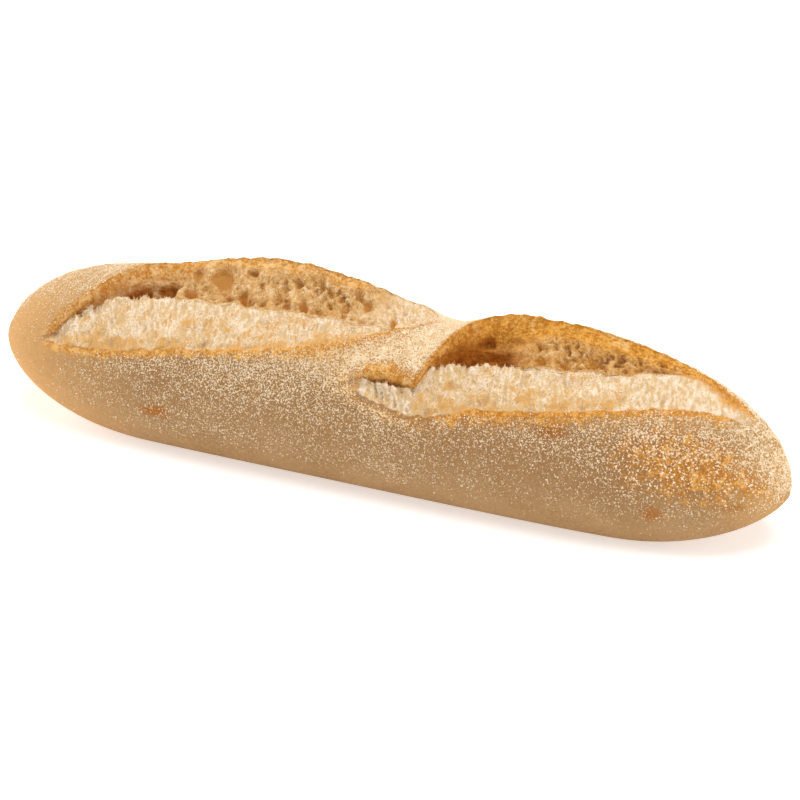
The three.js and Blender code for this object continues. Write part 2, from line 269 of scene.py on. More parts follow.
# %% Whole crust
RIM_HEIGHT, RIM_SPAN = 0.9, 9
UNEVEN_HEIGHT, UNEVEN_SIZE = 0.7, 24
FLAP_SPAN = 70


def crust_point(dough, cuts, clock):
    """Across and up of the crust with its rims and raised ears."""
    y, z = dough_point(dough, clock)
    swell = UNEVEN_HEIGHT * dough["plan"] * np.maximum(np.sin(np.radians(clock)), 0)
    swell = swell * cloud(dough["x"], y, z, UNEVEN_SIZE)
    for cut in cuts:
        rim = RIM_HEIGHT * cut["rim"] * ramp(clock, cut["lip"] - RIM_SPAN, cut["lip"])
        swell = swell + np.where(clock <= cut["lip"], rim, 0)
    out_y, out_z = outward(dough, clock)
    lift = 0
    for cut in cuts:
        hang = cut["rise"] * (1 - ramp(clock, cut["ridge"], cut["ridge"] + FLAP_SPAN))
        lift = lift + np.where(clock >= cut["ear"], hang, 0)
    return y + out_y * swell, z + out_z * swell + lift


def sunk_point(dough, cuts, clock, dip):
    """Across and up of a point that lies under the crust by dip."""
    y, z = crust_point(dough, cuts, clock)
    out_y, out_z = outward(dough, clock)
    return y - out_y * dip, z - out_z * dip


print("rim of", RIM_HEIGHT, "mm, swell of up to", UNEVEN_HEIGHT, "mm")

# %% [markdown]
# Inside a slash the columns run over the crumb to the crest, fall behind it into a crease and climb
# the torn wall to the ear. Where an ear has lifted clear, a pocket pulls the crease back beneath it,
# which is what makes the dark gap under the ear.

# %% Crumb and torn wall
CRUMB_DIP = 1.2
CREASE_DEPTH, CREASE_SHALLOW, CREASE_SHARE, CREASE_CLOSE = 6, 0.08, 0.4, 0.1
FULL_WALL, FLAP_DEPTH = 30, 0.35
POCKET_REACH, POCKET_PULL, POCKET_DROP, POCKET_LEVEL, FULL_POCKET = 7, 5, 3, 0.15, 15
WALL_BEND, WALL_LEVEL = 0.75, 0.35
COLUMNS = dict(hip=6, near=22, face=28, fall=10, wall=38, strap=10, far=14, underside=3)


def across_band(band):
    """Share of the way across a band at each of its columns."""
    return np.arange(COLUMNS[band]) / COLUMNS[band]


def slash_band(dough, cuts, cut):
    """Columns of one slash: grids of across, up and clock for face, fall and wall."""
    share = across_band("face")
    clock = mix(cut["lip"], cut["crest"], share)
    dip = CRUMB_DIP * cut["opened"] * np.sin(np.pi * share) + cut["dip"] * share
    y, z = sunk_point(dough, cuts, clock, dip)
    climb = cut["opened"] * cut["meet"] * cut["rise"]
    face = (y, z + climb * share ** 2, clock)

    under = np.maximum(cut["pocket"], cut["flap"])
    full_span = mix(FULL_WALL, FULL_POCKET, cut["pocket"])
    depth = np.maximum(np.minimum((cut["ear"] - cut["crest"]) / full_span, 1), FLAP_DEPTH * cut["flap"])
    depth = depth * cut["opened"] * (1 - cut["meet"]) * mix(CREASE_SHALLOW, 1, under)
    hollow = depth * cut["pocket"]
    reach = depth * under
    crease_share = mix(CREASE_CLOSE, CREASE_SHARE, np.maximum(under, cut["meet"]))
    crease_clock = mix(cut["crest"], cut["ear"], crease_share)
    ear_y, ear_z = crust_point(dough, cuts, cut["ear"])
    crest_y, crest_z = sunk_point(dough, cuts, cut["crest"], cut["dip"])
    crest_z = crest_z + climb
    crease_y, crease_z = sunk_point(dough, cuts, crease_clock, cut["dip"])
    crease_y = crease_y + POCKET_REACH * reach
    crease_z = crease_z - CREASE_DEPTH * depth - POCKET_DROP * reach + climb

    share = across_band("fall")
    clock = mix(cut["crest"], crease_clock, share)
    whole_y, whole_z = crust_point(dough, cuts, clock)
    turn = np.pi / 2 * share
    fall_y, fall_z = mix(crest_y, crease_y, 1 - np.cos(turn)), mix(crest_z, crease_z, np.sin(turn))
    fall = (mix(whole_y, fall_y, cut["opened"]), mix(whole_z, fall_z, cut["opened"]), clock)

    share = across_band("wall")
    clock = mix(crease_clock, cut["ear"], share)
    whole_y, whole_z = crust_point(dough, cuts, clock)
    bend_y = mix(crease_y, ear_y, WALL_BEND) - POCKET_PULL * hollow
    bend_z = mix(crease_z, ear_z, WALL_LEVEL + POCKET_LEVEL * hollow)
    wall_y = mix(mix(crease_y, bend_y, share), mix(bend_y, ear_y, share), share)
    wall_z = mix(mix(crease_z, bend_z, share), mix(bend_z, ear_z, share), share)
    wall = (mix(whole_y, wall_y, cut["opened"]), mix(whole_z, wall_z, cut["opened"]), clock)
    return [face, fall, wall]


print("columns of each band:", COLUMNS)

# %% [markdown]
# One grid covers the whole loaf: sections along it and columns round it, a little closer together
# towards the ends, where the shape turns fastest. The form could be sculpted instead, but in a grid
# every point knows its section, its band and its clock angle, and every later step uses them.

# %% Lay the grid
SECTIONS, END_CROWDING = 480, 1.15
share = np.linspace(-1, 1, SECTIONS + 1)[1:-1, None]
stations = np.sign(share) * (1 - (1 - np.abs(share)) ** END_CROWDING) * LENGTH / 2
dough = dough_at(stations)
right, left = cut_at(RIGHT_SLASH, stations), cut_at(LEFT_SLASH, stations)
cuts = [right, left]


def crust_band(*runs):
    """Grids of across, up and clock of whole crust along runs of (clock from, clock to, columns)."""
    clock = np.concatenate([mix(start, stop, np.arange(count) / count) + 0 * stations
                            for start, stop, count in runs], 1)
    return (*crust_point(dough, cuts, clock), clock)


flat_y = mix(dough["foot"], -dough["foot"], across_band("underside"))
near_runs = ((NEAR_FOOT, NEAR_HIP, COLUMNS["hip"]), (NEAR_HIP, right["lip"], COLUMNS["near"]))
bands = dict(near=crust_band(*near_runs))
bands.update(zip(("face_r", "fall_r", "wall_r"), slash_band(dough, cuts, right)))
bands.update(strap=crust_band((right["ear"], left["lip"], COLUMNS["strap"])))
bands.update(zip(("face_l", "fall_l", "wall_l"), slash_band(dough, cuts, left)))
bands.update(far=crust_band((left["ear"], FAR_FOOT, COLUMNS["far"])))
bands.update(underside=(flat_y, dough["base"] + 0 * flat_y, FAR_FOOT + 0 * flat_y))
first = dict(zip(bands, np.cumsum([0] + [band[0].shape[1] for band in bands.values()])))
Y, Z, clock = (np.concatenate([band[i] for band in bands.values()], 1) for i in range(3))
X = stations + 0 * Y
grid = np.stack([X, Y, Z], -1)
print("grid of", X.shape[0], "sections by", X.shape[1], "columns")


def part(values, name):
    """The columns of one band."""
    return values[:, first[name]:first[name] + bands[name][0].shape[1]]


# %% [markdown]
# Many marks of baking depend on how far a point lies from the edges of the slashes, so the length
# along each section is measured once.

# %% Distances from the edges
steps = np.linalg.norm(np.diff(grid, axis=1), axis=2)
arc = np.concatenate([np.zeros_like(stations), np.cumsum(steps, 1)], 1)
# Letter, lines and noise seed of each slash
SIDES = (("r", right, 11.0), ("l", left, 47.0))
from_lip = {"r": arc - arc[:, [first["face_r"]]], "l": arc - arc[:, [first["face_l"]]]}
from_ear = {"r": arc - arc[:, [first["strap"]]], "l": arc - arc[:, [first["far"]]]}
print("longest way round a section:", round(float(arc.max()), 1), "mm")

# %% [markdown]
# Fine relief is a height along the surface's own direction. Torn crumb is drawn out in short fibres
# that lean a little, with flaky lumps between them. It is roughest along the crest, apart from the
# stretches where the crest leans on the wall. A bump in a material looks alike from the front, but
# only real height gives the crest a ragged outline.

# %% Relief of torn crumb
along = np.gradient(grid, axis=0)
around = np.roll(grid, -1, 1) - np.roll(grid, 1, 1)
facing = np.cross(along, around)
facing /= np.linalg.norm(facing, axis=2, keepdims=True) + 1e-9

height, gap_shade, weave = np.zeros_like(X), np.zeros_like(X), np.zeros_like(grid)
FIBRE_WIDTH, FIBRE_LENGTH, FIBRE_SLANT, FIBRE_HEIGHT, FIBRE_RATIO = 1.2, 5.0, -0.35, 0.45, 4.0
FIBRE_DRIFT, DRIFT_SIZE, CRUMB_EDGE = 0.8, 4.0, 2.0
LUMP_SIZE, LUMP_HEIGHT, FLAKE_SIZE, FLAKE_HEIGHT = 6.0, 0.7, 1.8, 0.5


def crumb_relief(x, y, z, across, seed):
    """Height of torn crumb, how far its fibres stand up, and a place on its fibres."""
    drift = x - FIBRE_SLANT * across + FIBRE_DRIFT * cloud(x, y, z, DRIFT_SIZE, seed)
    strands = cloud(drift / FIBRE_WIDTH, across / FIBRE_LENGTH, 0, 1.0, seed)
    strands = strands + 0.6 * cloud(drift / FIBRE_WIDTH, across / FIBRE_LENGTH, 0, 0.5, seed)
    lumps = LUMP_HEIGHT * cloud(x, y, z, LUMP_SIZE, seed) + FLAKE_HEIGHT * cloud(x, y, z, FLAKE_SIZE, seed)
    return lumps, strands, np.stack([drift, across / FIBRE_RATIO, seed + 0 * x], -1)


for side, cut, seed in SIDES:
    under = np.maximum(cut["pocket"], cut["flap"])
    name, share = "face_" + side, across_band("face")
    x, y, z, across = (part(g, name) for g in (X, Y, Z, from_lip[side]))
    inside = cut["opened"] * ramp(across, 0, CRUMB_EDGE) * (1 - cut["meet"] * ramp(share, 0.5, 1))
    lumps, strands, part(weave, name)[:] = crumb_relief(x, y, z, across, seed)
    rough = 1 + ramp(share, 0.75, 1.0) + 0.7 * cut["flap"]
    calm = 1 - 0.65 * (1 - under) * ramp(share, 0.8, 1.0)
    part(height, name)[:] = inside * calm * (FIBRE_HEIGHT * rough * strands + lumps)
    # The gap mark is painted shade: the lower the relief between fibres, the darker the colour
    sunk = ramp(-strands - lumps, 0.1, 1.3) * (1 - 0.6 * share)
    part(gap_shade, name)[:] = inside * mix(sunk, ramp(-strands, 0.2, 0.8), cut["flap"])

    name, fade = "fall_" + side, 1 - across_band("fall")
    x, y, z, across = (part(g, name) for g in (X, Y, Z, from_lip[side]))
    lumps, strands, part(weave, name)[:] = crumb_relief(x, y, z, across, seed)
    loose = cut["opened"] * (1 - cut["meet"]) * fade * mix(0.35, 1, under)
    part(height, name)[:] = loose * (2 * FIBRE_HEIGHT * strands + lumps)
print("relief of the crumb:", np.round([height.min(), height.max()], 2), "mm")

# %% [markdown]
# The wall under an ear is torn foam: cells of two sizes that were drawn out as the ear rose, a few
# great bubbles that tore open into bowls, and webs of dough that still stand between them. A cell
# noise makes the foam. The bowls and webs are placed one by one, because they are what the eye knows
# this loaf by.

# %% Relief of the torn walls
pit_shade, strut, bowls = (np.zeros_like(X) for _ in range(3))
BIG_CELL, BIG_DEPTH, SMALL_CELL, SMALL_DEPTH, CELL_DRAWN = 2.6, 1.3, 1.5, 0.6, 0.5
CELL_WARP, WARP_SIZE, CELL_PATCH, WALL_SLANT = 0.7, 2.5, 13.0, 0.48
WALL_WAVES = ((0.7, 8.0), (0.4, 2.0))
CELLS_FROM = dict(l=(-88, -72), r=(40, 58))
CELL_FADE = dict(l=(0.5, 0.85), r=(0.4, 0.75))
CELLS_LEFT, PALE_WALL = dict(l=0.65, r=1.0), (-20, 6)
# Each bowl has its place along the loaf, its level as a share of the wall, its half length in
# millimetres and its half height as a share of the wall; each web its place and its half width
GREAT_BUBBLES = dict(
    l=((-66.5, 0.6, 5.4, 0.22), (-67, 0.14, 2.8, 0.2), (-56.5, 0.5, 6.2, 0.36), (-49.5, 0.13, 2.6, 0.18),
       (-46, 0.62, 1.9, 0.1), (-28.7, 0.14, 1.7, 0.2), (-30, 0.55, 1.9, 0.14), (-5.5, 0.47, 2.8, 0.17),
       (3, 0.2, 1.8, 0.2)),
    r=((32.5, 0.42, 2.8, 0.16), (54.5, 0.14, 2.9, 0.14), (54.3, 0.41, 2.2, 0.1), (62.4, 0.12, 3.0, 0.11),
       (71.1, 0.2, 2.5, 0.18), (98, 0.27, 2.8, 0.2)))
BUBBLE_DEPTH, BUBBLE_WARP, LEVEL_WARP, BUBBLE_SHADE = 2.0, 1.3, 0.07, dict(l=0.85, r=0.55)
WEBS = dict(l=((-86, 0.7), (-71, 0.7), (-39.5, 0.7), (-32.5, 0.3)), r=((58.3, 0.15), (77.5, 0.5)))
WEB_SLOPE, WEB_TOP, WEB_HEIGHT = 0.8, (0.15, 0.45), 0.5
for side, cut, seed in SIDES:
    name, share = "wall_" + side, across_band("wall")
    x, y, z, up = (part(g, name) for g in (X, Y, Z, arc))
    up = up - up[:, :1]
    cut["lifted"] = cut["opened"] * np.minimum((cut["ear"] - cut["crest"]) / FULL_WALL, 1)
    inside = cut["lifted"] * ramp(share, 0, 0.06) * (1 - 0.85 * ramp(share, *CELL_FADE[side]))
    lean = x + WALL_SLANT * (y - y[:, :1])
    push, pull = (CELL_WARP * cloud(lean, up, 0, WARP_SIZE, seed + shift) for shift in (5, 9))
    big = foam(lean + push, CELL_DRAWN * (up + pull), 0, BIG_CELL, seed)
    small = foam(lean + push, CELL_DRAWN * (up + pull), 0, SMALL_CELL, seed + 1)
    part(weave, name)[:] = np.stack([lean + push, CELL_DRAWN * (up + pull), seed + 0 * x], -1)
    patchy = mix(0.75, 1.0, ramp(cloud(x, y, z, CELL_PATCH, seed + 2), -0.3, 0.3))
    patchy = patchy * mix(0.1, 1.0, ramp(x, *CELLS_FROM[side]))
    patchy = patchy * mix(1.0, CELLS_LEFT[side], ramp(x, *PALE_WALL))

    bowl, web = np.zeros_like(x), np.zeros_like(x)
    for at, middle, half_length, half_share in GREAT_BUBBLES[side]:
        far = np.hypot((lean + BUBBLE_WARP * push - at) / half_length,
                       (share + LEVEL_WARP * BUBBLE_WARP * pull - middle) / half_share)
        bowl = np.maximum(bowl, 1 - ramp(far, 0.3, 1.1))
    for at, half in WEBS[side]:
        ridge = 1 - ramp(np.abs(lean + push - at), half, half + WEB_SLOPE)
        web = np.maximum(web, ridge * (1 - ramp(share, *WEB_TOP)))

    waves = sum(tall * cloud(x, y, z, broad, seed) for tall, broad in WALL_WAVES)
    foamy = patchy * (1 - bowl)
    part(height, name)[:] = inside * (waves + WEB_HEIGHT * web)
    part(height, name)[:] -= inside * (1 - web) * foamy * (BIG_DEPTH * big + SMALL_DEPTH * small)
    part(height, name)[:] -= cut["lifted"] * BUBBLE_DEPTH * bowl * (1 - web)
    # The pit mark is painted shade: the deeper a cell, the darker its colour, and the bowls darker still
    shade = BUBBLE_SHADE[side] * bowl
    deep = np.maximum(foamy * np.minimum(0.75 * big + 0.45 * small, 1), shade) * (1 - web)
    part(pit_shade, name)[:] = np.maximum(inside * deep, cut["lifted"] * shade * (1 - web))
    part(bowls, name)[:] = cut["lifted"] * bowl
    part(strut, name)[:] = cut["lifted"] * web
print("relief inside the slashes:", np.round([height.min(), height.max()], 2), "mm")

# %% [markdown]
# Baked crust is only faintly wrinkled, but it broke into small flakes where it tore: along the ears
# and, less so, along the lips. Near the table it is smooth, where the dough lay on the tray. The
# heights are then added to the grid along the surface's direction.

# %% Relief of the crust
EAR_FLAKE, LIP_FLAKE, FLAKE_WAVE, FLAKE_CHIP = 0.45, 0.2, 2.4, 1.2
EAR_BREAK, LIP_BREAK = (1, 7), (0.5, 3)
WRINKLES, TRAY_SMOOTH = ((0.2, 5.0), (0.1, 1.8)), (2, 10)
in_slash = np.zeros_like(X)
for side, cut, seed in SIDES:
    for band in ("face_", "fall_", "wall_"):
        part(in_slash, band + side)[:] = cut["bared"]
    flakes = cloud(X, Y, Z, FLAKE_WAVE, seed + 3) + 0.6 * cloud(X, Y, Z, FLAKE_CHIP, seed + 3)
    height += EAR_FLAKE * cut["lifted"] * flakes * (1 - ramp(np.abs(from_ear[side]), *EAR_BREAK))
    height += LIP_FLAKE * cut["opened"] * flakes * (1 - ramp(np.abs(from_lip[side]), *LIP_BREAK))
wrinkle = sum(tall * cloud(X, Y, Z, broad) for tall, broad in WRINKLES)
height += (1 - in_slash) * ramp(Z - dough["base"], *TRAY_SMOOTH) * wrinkle
shaped = grid + facing * height[..., None]
print("relief of the whole loaf:", np.round([height.min(), height.max()], 2), "mm")

# %% [markdown]
# Baking leaves its marks by place, and so does painted shade, so each point of the mesh carries a
# few shares from 0 to 1: how much of it is torn crumb, torn wall, painted shade of a pocket or pit,
# toasted edge or floured crust. The material reads them and adds the detail that is finer than the
# mesh. First the lips, which toasted along a ragged edge, and the crumb behind them, which pales
# towards its crest.

# %% Toasted lips and pale crumb
crumb, torn, painted_shade, roof, toast, blotch, paling = (np.zeros_like(X) for _ in range(7))
RAGGED = ((1.2, 5.0), (0.9, 2.4), (0.5, 1.2))
LIP_TOAST = dict(l=mix(3.5, 8.5, ramp(stations, -60, -10)), r=8.0)
LIP_FAINT = dict(l=mix(0.6, 0.9, ramp(stations, -60, -20)), r=0.6)
LIP_RAGGED, CRUST_END, CRUMB_TOAST, TOAST_PATCH = 0.6, 0.4, 1.8, 9.0
WHITE_END, WHITE_END_MOST, WHITE_FLAP = (75, 105), 2.3, 1.8
ragged = {}
for side, cut, seed in SIDES:
    face, fall = "face_" + side, "fall_" + side
    ragged[side] = sum(tall * cloud(X, Y, Z, broad, seed) for tall, broad in RAGGED)
    edge = from_lip[side] + LIP_RAGGED * ragged[side]
    lip_toast = mix(LIP_FAINT[side] * ramp(edge, -LIP_TOAST[side], -1.5), 1, ramp(edge, -2, 0))
    lip_toast = lip_toast * (1 - ramp(edge, CRUST_END, CRUMB_TOAST))
    lip_toast = lip_toast * mix(0.2, 1, cut["rim"]) * (0.9 + 0.4 * cloud(X, Y, Z, TOAST_PATCH, seed + 4))
    toast = np.maximum(toast, cut["opened"] * lip_toast)
    part(crumb, face)[:] = part(cut["bared"] * ramp(edge, CRUST_END, 1.2), face)
    part(crumb, fall)[:] = cut["opened"]
    whiter = np.maximum(WHITE_FLAP * cut["flap"], WHITE_END_MOST * ramp(stations, *WHITE_END))
    part(paling, face)[:] = np.maximum(across_band("face"), whiter)
    part(paling, fall)[:] = cut["opened"]
print("crumb share of the grid:", round(float((crumb > 0.5).mean()), 2))

# %% [markdown]
# The torn walls are darker than the crumb, and their pits are painted darker still, as shade. Low
# down, under the start of each ear, a pocket is painted dark as its shade; higher up its roof is
# smooth. The flap's slit and the pits at the foot of each wall get the same painted shade. The far
# end of the left wall is thin and as pale as crumb.

# %% Torn walls and shaded pockets
WALL_SEEN, PALE_MOST, PALE_WHITE = (3, 12), 0.95, 1.6
FALL_PITS, PIT_WAVE, PIT_CHIP = dict(l=0.4, r=0.6), 2.4, 1.1
LOW_EAR, LOW_SHADE, SHADE_TO = dict(l=(-102, -88), r=(22, 36)), dict(l=0.42, r=0.8), dict(l=0.5, r=0.34)
FLAP_SHADE = 0.3
for side, cut, seed in SIDES:
    wall, share = "wall_" + side, across_band("wall")
    cut["wide"] = ramp(cut["ear"] - cut["crest"], *WALL_SEEN)
    cut["pale"] = PALE_MOST * ramp(stations, *PALE_WALL) * (side == "l")
    cut["mouth"] = cut["pocket"] * cut["wide"]
    dark, standing = 1 - cut["pale"], part(strut, wall)
    part(torn, wall)[:] = cut["opened"] * dark * (1 - 0.7 * cut["meet"]) * (1 - 0.8 * standing)
    part(crumb, wall)[:] = cut["opened"]
    part(paling, wall)[:] = PALE_WHITE * cut["pale"]
    part(pit_shade, wall)[:] *= 1 - 0.3 * cut["pale"]
    part(roof, wall)[:] = cut["mouth"]
    shade_to = mix(LOW_SHADE[side], SHADE_TO[side], ramp(stations, *LOW_EAR[side]))
    # Painted shade: the pocket under each ear, the flap's slit and the pits at the wall's foot are
    # darkened
    part(painted_shade, wall)[:] = cut["opened"] * (1 - standing) * np.maximum.reduce([
        cut["mouth"] * (1 - ramp(share, 0.6 * shade_to, shade_to)),
        FLAP_SHADE * cut["flap"] * (1 - ramp(share, 0.55, 0.9)),
        part(pit_shade, wall) * cut["wide"] * dark * (1 - ramp(share, 0.05, 0.35))])

    fall, share = "fall_" + side, across_band("fall")
    # The fall behind the crest is painted dark as shade where a pocket or the flap hangs over it
    shaded = np.maximum(cut["mouth"], FLAP_SHADE * cut["flap"])
    part(painted_shade, fall)[:] = cut["opened"] * ramp(share, 0.15, 0.5) * shaded
    part(torn, fall)[:] = cut["opened"] * ramp(share, 0.2, 0.8) * (1 - cut["flap"]) * (1 - cut["meet"])
    # Brown pits are painted in the fall behind the crest, as shade
    broken = cloud(stations, seed, 0, PIT_WAVE) + 0.6 * cloud(stations, seed, 5, PIT_CHIP)
    part(pit_shade, fall)[:] = part(torn, fall) * mix(0.15, FALL_PITS[side], ramp(broken, -0.25, 0.3))
print("shaded share of the grid:", round(float((painted_shade > 0.5).mean()), 3))

# %% [markdown]
# The ears stood nearest the oven's roof and toasted on both faces: a few millimetres of their backs,
# and further down their fronts, most of all in the roofs of the pockets. Down the fronts, in the
# pocket roofs, on the flap and where the wall is thin, this toast colour is partly real toast and
# partly painted warm shade. The bowls of the great bubbles toasted with them.

# %% Toasted ears
EAR_TOAST, WALL_TOAST, POCKET_TOAST_AND_SHADE = dict(l=3.0, r=4.0), dict(l=6.5, r=10.0), dict(l=12, r=22)
FLAP_TOAST_AND_SHADE, FLAP_BACK, BOWL_TOAST, EAR_PATCH = 6, 6.5, 0.75, 11.0
THIN_WALL_TOAST_AND_SHADE = dict(l=mix(0.9, 0.35, ramp(stations, -100, -60)), r=0.8)
EAR_PATCHY = dict(l=ramp(stations, -90, -60), r=0.0)
BROAD_BACK = dict(l=0.0, r=hump(stations, 10, 60))
for side, cut, seed in SIDES:
    edge = from_ear[side] + ragged[side] * mix(1.0, 0.5, cut["mouth"])
    # How far down the front the toast reaches is partly painted warm shade under the ears
    front = mix(WALL_TOAST[side], POCKET_TOAST_AND_SHADE[side], cut["mouth"])
    front = mix(front, FLAP_TOAST_AND_SHADE, ramp(cut["flap"], 0, 0.3))
    back = mix(EAR_TOAST[side], FLAP_BACK, np.maximum(cut["flap"], BROAD_BACK[side]))
    patches = np.clip(0.8 + 0.8 * cloud(stations, seed, 2, EAR_PATCH), 0.3, 1)
    full = np.maximum(cut["wide"], ramp(cut["flap"], 0, 0.6))
    ear_toast = ramp(edge, -front, -1) * (1 - ramp(edge, 0.5, back))
    ear_toast = ear_toast * mix(1.0, patches, EAR_PATCHY[side]) * (1 - cut["pale"])
    ear_toast = ear_toast * mix(THIN_WALL_TOAST_AND_SHADE[side], 1, full)
    toast = np.maximum.reduce([toast, cut["opened"] * ear_toast, BOWL_TOAST * bowls])
print("toasted share of the grid:", round(float((toast > 0.5).mean()), 2))

# %% [markdown]
# A few dark patches mark where the near side was baked hardest, and the biggest of them, near the
# right end, glows orange. Each is an uneven round spot, placed one by one.

# %% Dark patches of the crust
# Each patch has its place along the loaf, its clock angle, its half length, its half height and its share
BIGGEST = (113, 30)
BLOTCHES = ((-67, -7, 6.0, 5.0, 1.0), (101.6, -13, 4.5, 6.0, 0.75), (125, -4, 4.0, 5.0, 0.6),
            (*BIGGEST, 28.0, 19.0, 0.6), (67, 35, 8.0, 4.0, 1.0))
GLOW = (*BIGGEST, 30, 20, 0.52)
MM_PER_DEGREE, RUFFLE, RUFFLE_SIZE = 0.55, 0.35, 3.0
ruffle = RUFFLE * cloud(X, Y, Z, RUFFLE_SIZE, 5.0)


def patch(x, at, length, tall, most):
    """Shares of one uneven patch, most at its middle."""
    far = np.hypot((X - x) / length, (clock - at) * MM_PER_DEGREE / tall) + ruffle
    return most * (1 - ramp(far, 0.2, 1.2))


for blotch_place in BLOTCHES:
    blotch = np.maximum(blotch, patch(*blotch_place))
toast = np.maximum(toast, patch(*GLOW) * (1 - in_slash))
print("dark share of the grid:", round(float((blotch > 0.5).mean()), 3))

# %% [markdown]
# Flour fell from above and stayed where a hand or the oven did not take it: most on the crown, less
# on the near side, hardly any at the left end, low down and on toasted edges. The strap of crust
# between the slashes and the crust beside the flap are floury and golden at once.

# %% Where flour fell
# Clock angles between which the dust begins, thickens and ends, and past which the far side begins
LOW_DUST, HIGH_DUST, FAR_BARE, TOP_SEEN = (-48, -8), (0, 42), (140, 230), (118, 165)
flour = 0.5 * ramp(clock, *LOW_DUST) + 0.5 * ramp(clock, *HIGH_DUST) - ramp(clock, *FAR_BARE)
# The left end is bare below its crown
LEFT_BARE, LEFT_CROWN = (-124, -66), (45, 80)
flour = flour * mix(mix(0.15, 1.0, ramp(X, *LEFT_BARE)), 1.0, 0.8 * ramp(clock, *LEFT_CROWN))
# Fields along the near side where the flour was rubbed off or is thin; on the left a little more stayed
RUBBED_FROM, RUBBED_TO, RUBBED_CLOCK = (70, 98), (116, 130), (20, 40)
rubbed = ramp(X, *RUBBED_FROM) * (1 - ramp(X, *RUBBED_TO))
flour = flour * mix(1.0, mix(0.75, 0.95, ramp(clock, *RUBBED_CLOCK)), rubbed)
THIN_FIELD, THIN_CLOCK, LEFT_FULL = (24, 100), (5, 25), (-70, 0)
flour = flour * mix(1.12, 1.0, ramp(X, *LEFT_FULL)) * (1 - 0.3 * blotch)
flour = flour * (1 - mix(0.45, 0.25, ramp(clock, *THIN_CLOCK)) * hump(X, *THIN_FIELD))
# The strap between the slashes and the crust beside the flap
seen_from_above = 1 - ramp(clock, *TOP_SEEN)
STRAP_AT, STRAP_FULL, STRAP_HALF, STRAP_WANDER, STRAP_CLOCK = 4.0, 4, 42.0, 9, (30, 62)
from_strap = np.abs(X - STRAP_AT) + STRAP_WANDER * cloud(X, Y, Z, 9.0, 3.0)
strap = (1 - ramp(from_strap, STRAP_FULL, STRAP_HALF)) * ramp(clock, *STRAP_CLOCK) * seen_from_above
BY_FLAP_FROM, BY_FLAP_TO, BY_FLAP_REACH = (-16, -3), (28, 40), (-8, -0.5)
by_flap = ramp(from_lip["r"], *BY_FLAP_REACH) * ramp(X, *BY_FLAP_FROM) * (1 - ramp(X, *BY_FLAP_TO))
by_flap = by_flap * (1 - in_slash) * seen_from_above
# The edge of the flap and of the right ear's start has lost its flour
EAR_STARTS, EAR_GROWN = (16, 22), (42, 60)
ear_start = ramp(X, *EAR_STARTS) * (1 - ramp(X, *EAR_GROWN))
bare_edge = np.maximum(right["flap"], ear_start) * ramp(from_ear["r"], -0.5, 0.5)
bare_edge = bare_edge * (1 - ramp(from_ear["r"], 2.5, mix(6, 8, ear_start)))
flour = flour * (1 + 0.35 * strap + 0.4 * by_flap) * (1 - 0.75 * bare_edge)
# Share, width and noise seed of the drifts
DRIFTS = ((0.3, 18.0, 8.0), (0.2, 6.0, 2.0))
flour = flour * np.clip(sum([most * cloud(X, Y, Z, *drift) for most, *drift in DRIFTS], 0.9), 0, 1.1)
flour = np.clip(flour * (1 - 0.6 * toast) * (1 - in_slash), 0, 1.6)
toast = np.maximum.reduce([toast, 0.75 * strap * (1 - in_slash), 0.5 * by_flap])
print("floured share of the grid:", round(float((flour > 0.5).mean()), 2))

# %% [markdown]
# The grid is closed into one skin: a quad between each pair of neighbouring points, and a fan of
# triangles at each tip. The marks go on as point attributes.

# %% Skin the loaf
MM = 0.001
rows, round_count = X.shape
points = np.concatenate([shaped.reshape(-1, 3),
                         [[-LENGTH / 2, 0, TIP_HEIGHT[0]], [LENGTH / 2, 0, TIP_HEIGHT[1]]]]) * MM
index = np.arange(rows * round_count).reshape(rows, round_count)
next_column = np.roll(index, -1, 1)
quads = np.stack([index[:-1], index[1:], next_column[1:], next_column[:-1]], -1).reshape(-1, 4)
left_tip, right_tip = rows * round_count, rows * round_count + 1
fans = [(left_tip, int(a), int(b)) for a, b in zip(index[0], next_column[0])]
fans += [(right_tip, int(b), int(a)) for a, b in zip(index[-1], next_column[-1])]
mesh = bpy.data.meshes.new("loaf_crust")
mesh.from_pydata(points.tolist(), [], quads.tolist() + fans)
mesh.shade_smooth()
marks = dict(crumb=crumb, torn=torn, painted_shade=painted_shade, roof=roof, toast=toast, blotch=blotch, flour=flour,
             pit_shade=pit_shade, gap_shade=gap_shade, paling=paling)
for name, values in marks.items():
    layer = mesh.attributes.new(name, "FLOAT", "POINT")
    layer.data.foreach_set("value", np.append(values.ravel(), (0, 0)).astype(np.float32))
layer = mesh.attributes.new("threads", "FLOAT_VECTOR", "POINT")
layer.data.foreach_set("vector", np.append(weave.reshape(-1, 3), np.zeros((2, 3))).astype(np.float32))
mesh.validate()
loaf = bpy.data.objects.new("loaf_crust", mesh)
bpy.context.collection.objects.link(loaf)
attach(loaf, "root")
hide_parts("loaf")
print("loaf mesh:", len(mesh.vertices), "points,", len(mesh.polygons), "faces")

# %% [markdown]
# Coarse flour from the proofing cloth clings to the crust. A texture could paint it, but real grains
# stand up from a steep side and catch the light from above, so each one is a small uneven
# tetrahedron. Patches of the skin are drawn by lot, by their area and by how floury they are, with a
# fixed seed.

# %% Flour grains
lot = np.random.default_rng(12)
TETRAHEDRON = np.array([(0, 1, 3), (1, 2, 3), (2, 0, 3), (2, 1, 0)])
GRAIN_UNEVEN = 0.35


